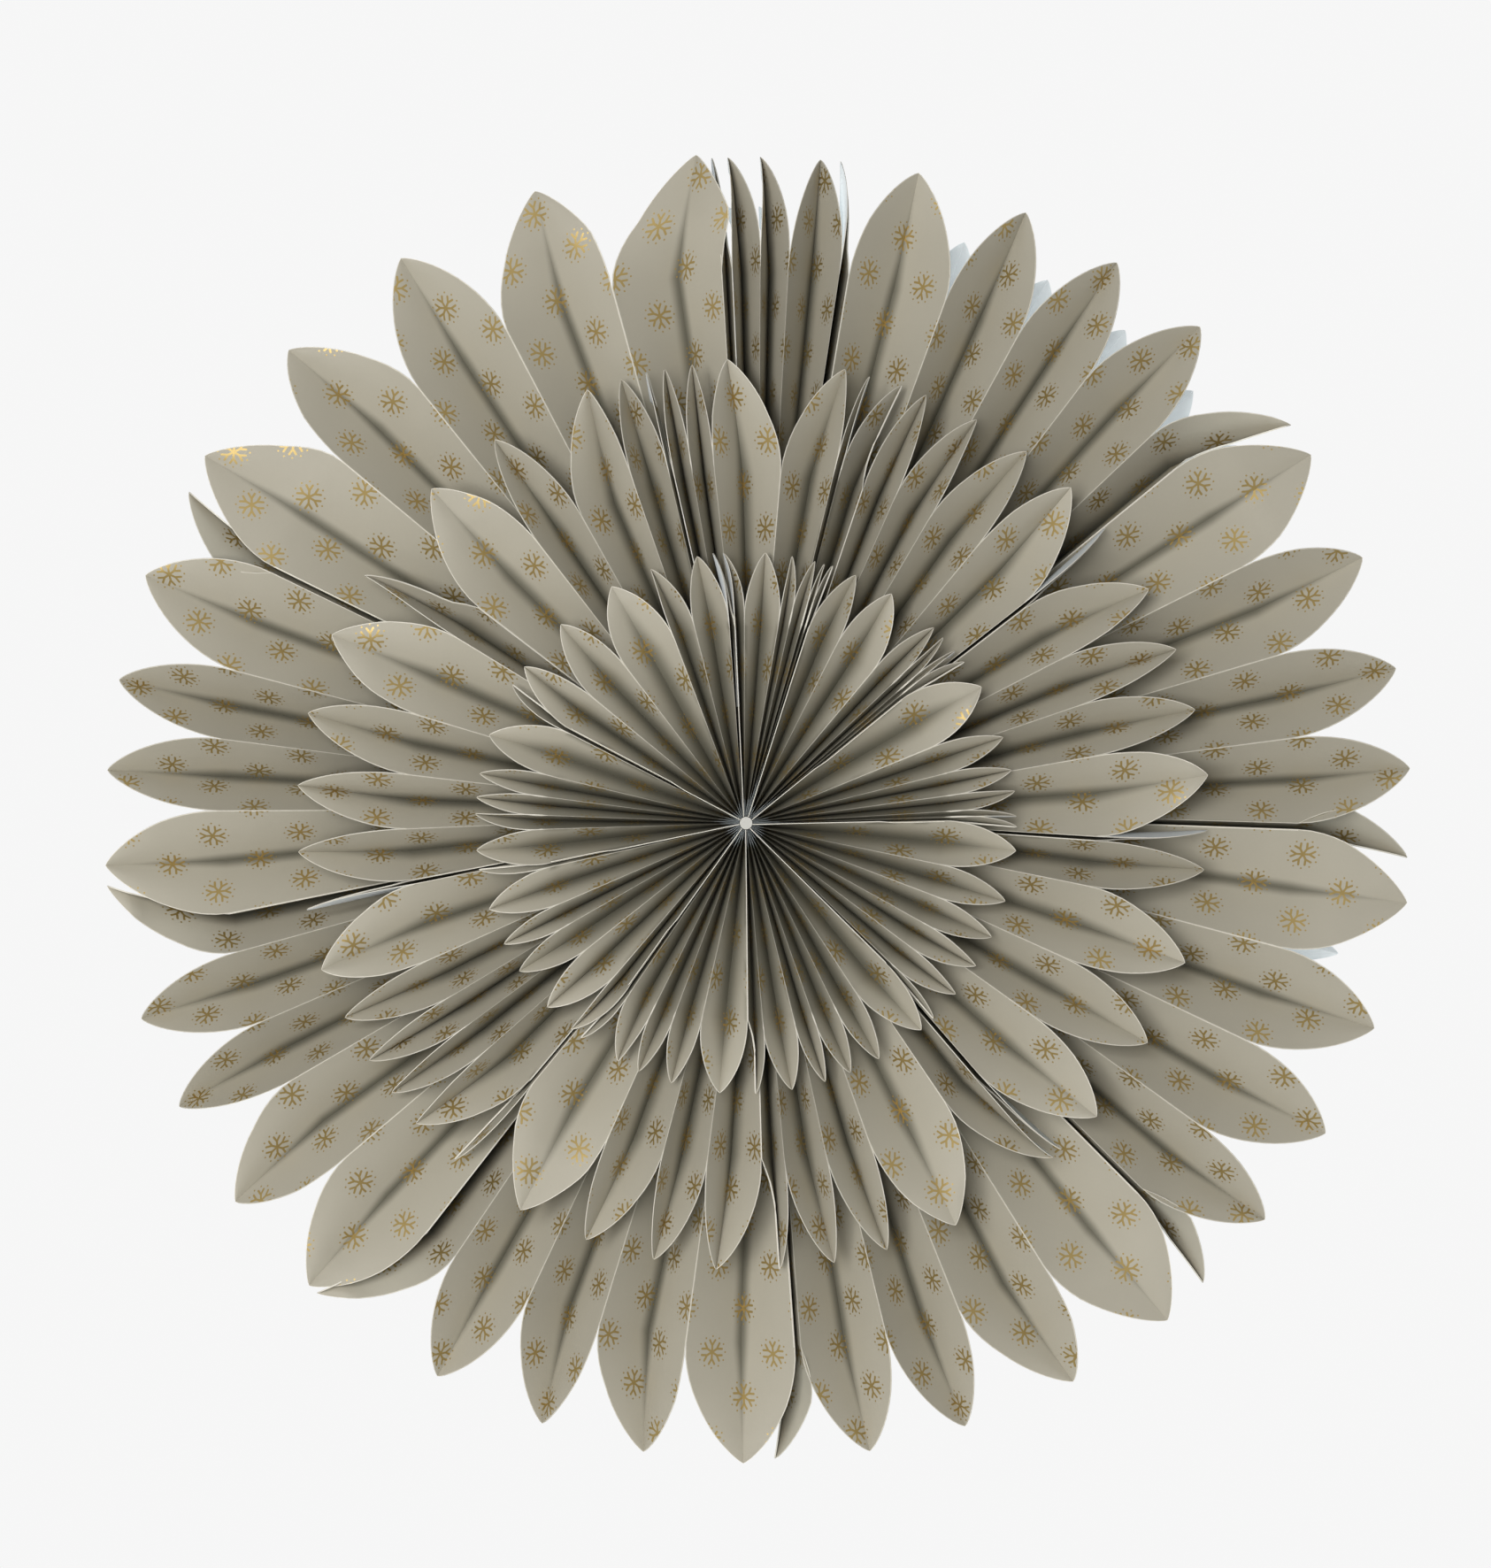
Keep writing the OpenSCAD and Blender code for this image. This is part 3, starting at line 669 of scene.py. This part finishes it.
def plain_paper(name, grain, light, dark, through):
    """Unprinted paper. through is the strength of a painted glow far from the hub, for light that comes
    through it.
    """
    material, tree, shader = new_material(name)
    texture = use_group(tree, grain)
    colour = mix_colour(tree, texture.outputs["Tone"], dark, light)
    tree.links.new(colour, shader.inputs["Base Color"])
    # Painted glow far from the hub, for light coming through the sheet
    if through:
        sheet_map = tree.nodes.new("ShaderNodeUVMap")
        sheet_map.uv_map = "UVMap"
        split = tree.nodes.new("ShaderNodeSeparateXYZ")
        tree.links.new(sheet_map.outputs["UV"], split.inputs[0])
        bare = ramp(tree, split.outputs["Y"], THROUGH_FROM, THROUGH_TO, 0.0, 1.0)
        tree.links.new(mix_colour(tree, bare, NO_GLOW, colour), shader.inputs["Emission Color"])
    shader.inputs["Emission Strength"].default_value = through
    shader.inputs["Roughness"].default_value = REVERSE_ROUGHNESS
    bump(tree, shader, texture.outputs["Height"], strength=0.3, distance=PAPER_RELIEF)
    return material


TAPE_DARK = (0.72, 0.74, 0.74, 1)
TAPE_PALE = (0.88, 0.89, 0.89, 1)
TAPE_ROUGHNESS = 0.45
TAPE_RELIEF = 0.00008
THREAD_DARK = (0.36, 0.36, 0.33, 1)
THREAD_PALE = (0.62, 0.62, 0.58, 1)
THREAD_SCALE = 2600.0
THREAD_ROUGHNESS = 0.5
THREAD_RELIEF = 0.0001


def tape_material(grain):
    material, tree, shader = new_material("seam_tape")
    texture = use_group(tree, grain, Fibre_Scale=1600.0, Cloud_Scale=90.0)
    colour = mix_colour(tree, texture.outputs["Tone"], TAPE_DARK, TAPE_PALE)
    tree.links.new(colour, shader.inputs["Base Color"])
    shader.inputs["Roughness"].default_value = TAPE_ROUGHNESS
    bump(tree, shader, texture.outputs["Height"], strength=0.2, distance=TAPE_RELIEF)
    return material


def thread_material():
    material, tree, shader = new_material("thread")
    place_in = tree.nodes.new("ShaderNodeTexCoord").outputs["Object"]
    fibres = noise(tree, place_in, THREAD_SCALE, detail=3.0, roughness=0.6)
    colour = mix_colour(tree, fibres, THREAD_DARK, THREAD_PALE)
    tree.links.new(colour, shader.inputs["Base Color"])
    shader.inputs["Roughness"].default_value = THREAD_ROUGHNESS
    bump(tree, shader, fibres, strength=0.4, distance=THREAD_RELIEF)
    return material


# Camera, light and stage

PHOTO_W = 1685
PHOTO_H = 1772
# Pixels of the photograph: middle of the outer tier, and millimetres of the star in one pixel
OUTER_PX = (857, 913)
MM_PER_PX = 0.4027
# Focal length and film width in millimetres
LENS = 120
SENSOR = 36


def camera(outer):
    """A level camera, as far in front of the outer tier as makes the star the size it has in the photo."""
    data = bpy.data.cameras.new("camera")
    data.lens = LENS
    data.sensor_width = SENSOR
    data.sensor_fit = "AUTO"
    seen = bpy.data.objects.new("camera", data)
    bpy.context.scene.collection.objects.link(seen)
    distance = PHOTO_H * MM_PER_PX * LENS / SENSOR
    x = (PHOTO_W / 2 - OUTER_PX[0]) * MM_PER_PX
    z = (OUTER_PX[1] - PHOTO_H / 2) * MM_PER_PX
    seen.location = Vector((x, outer.ridge_y - distance, z)) * MM
    seen.rotation_euler = (math.radians(90), 0, 0)
    bpy.context.scene.camera = seen


# Lamps: places and width in metres, power in watts. The second one lights the back of the star.
LAMP_SIZE = 1.2
KEY_AT = (-0.6, -2.5, 0.15)
KEY_POWER = 57
KEY_COLOUR = (1, 0.985, 0.965)
REAR_AT = (0.9, 2.3, 0.9)
REAR_POWER = 56
REAR_COLOUR = (1, 0.99, 0.975)


def lamp(name, place_at, power, colour):
    """A square lamp that points at the middle of the star's back."""
    data = bpy.data.lights.new(name, "AREA")
    data.shape = "SQUARE"
    data.size = LAMP_SIZE
    data.energy = power
    data.color = colour
    light = bpy.data.objects.new(name, data)
    bpy.context.scene.collection.objects.link(light)
    light.location = place_at
    light.rotation_euler = (-Vector(place_at)).to_track_quat("-Z", "Y").to_euler()


# Strength of the room's light on the star. Seen straight or in a reflection the room has strength 1.
AMBIENT = 0.08
BACKGROUND = (0.925, 0.925, 0.925, 1)


def surroundings():
    world = bpy.data.worlds.new("room")
    bpy.context.scene.world = world
    world.use_nodes = True
    tree = world.node_tree
    shader = tree.nodes["Background"]
    path = tree.nodes.new("ShaderNodeLightPath")
    seen = math_node(tree, "MAXIMUM", path.outputs["Is Camera Ray"], path.outputs["Is Glossy Ray"])
    seen = math_node(tree, "MAXIMUM", seen, path.outputs["Is Transmission Ray"])
    shader.inputs["Color"].default_value = BACKGROUND
    strength = math_node(tree, "ADD", math_node(tree, "MULTIPLY", seen, 1 - AMBIENT), AMBIENT)
    tree.links.new(strength, shader.inputs["Strength"])
    lamp("key", KEY_AT, KEY_POWER, KEY_COLOUR)
    lamp("rear", REAR_AT, REAR_POWER, REAR_COLOUR)


# Floor, in metres
FLOOR_Z = -0.62
FLOOR_SIZE = 2.6
FLOOR_COLOUR = (0.82, 0.82, 0.81, 1)
FLOOR_ROUGHNESS = 0.9
GLOW_COLOUR = (1, 1, 1, 1)
FLOOR_GLOW = 0.6


def floor():
    deselect_all()
    bpy.ops.mesh.primitive_plane_add(size=FLOOR_SIZE, location=(0, 0, FLOOR_Z))
    plane = bpy.context.active_object
    plane.name = "floor"
    material, tree, shader = new_material("floor")
    shader.inputs["Base Color"].default_value = FLOOR_COLOUR
    shader.inputs["Roughness"].default_value = FLOOR_ROUGHNESS
    # Seen straight, the floor glows, so that it is as pale as the room or paler
    path = tree.nodes.new("ShaderNodeLightPath")
    shader.inputs["Emission Color"].default_value = GLOW_COLOUR
    glow = math_node(tree, "MULTIPLY", path.outputs["Is Camera Ray"], FLOOR_GLOW)
    tree.links.new(glow, shader.inputs["Emission Strength"])
    plane.data.materials.append(material)


def tiers():
    """The four tiers, from the back of the star to its front."""
    # Width of a panel, from its ridge to its valley
    back_w = 29
    outer_w = 31
    middle_w = 25
    inner_w = 17
    outer_y = -back_w - TIER_GAP - outer_w
    middle_y = outer_y - TIER_GAP - middle_w
    inner_y = middle_y - TIER_GAP - inner_w
    return [
        Tier("back", tip_r=274, notch_r=228, pleat_w=back_w, hub_r=HUB_R, start=92.5, rows=BACK_PLEATS,
             centre=(-STEP_X, -STEP_Z), ridge_y=0, facing=-1),
        Tier("outer", tip_r=300, notch_r=246, pleat_w=outer_w, hub_r=HUB_R, start=92.5, rows=OUTER_PLEATS,
             centre=(0, 0), ridge_y=outer_y, facing=1),
        Tier("middle", tip_r=207, notch_r=155, pleat_w=middle_w, hub_r=HUB_R, start=102.4,
             rows=MIDDLE_PLEATS, centre=(STEP_X, STEP_Z), ridge_y=middle_y, facing=1),
        Tier("inner", tip_r=122, notch_r=88, pleat_w=inner_w, hub_r=INNER_HUB_R, start=94.8,
             rows=INNER_PLEATS, centre=(2 * STEP_X, 2 * STEP_Z), ridge_y=inner_y, facing=1),
    ]


def main():
    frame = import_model()
    bpy.context.scene.view_settings.view_transform = "Standard"
    stack = tiers()
    camera(stack[1])
    surroundings()
    floor()

    grain = paper_grain_group()
    flake = snowflake_group()
    wear_and_shade = wear_and_valley_shade_group()
    paper = [
        printed_paper(grain, flake, wear_and_shade),
        plain_paper("paper_reverse", grain, REVERSE, REVERSE_DARK, THROUGH),
        plain_paper("cut_edge", grain, CUT, WORN, 0.0),
    ]
    for tier in stack:
        for k in range(len(tier.rows)):
            sheet = folded_sheet(tier, k, paper)
            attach(sheet, "root")
            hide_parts(f"{tier.name}_sheet_{k + 1}")

    tape = tape_material(grain)
    thread = thread_material()
    for name, node in frame["nodes"].items():
        if name.endswith(("seam_tape", "binding_thread")):
            node.data.materials.clear()
            node.data.materials.append(tape if name.endswith("seam_tape") else thread)


main()
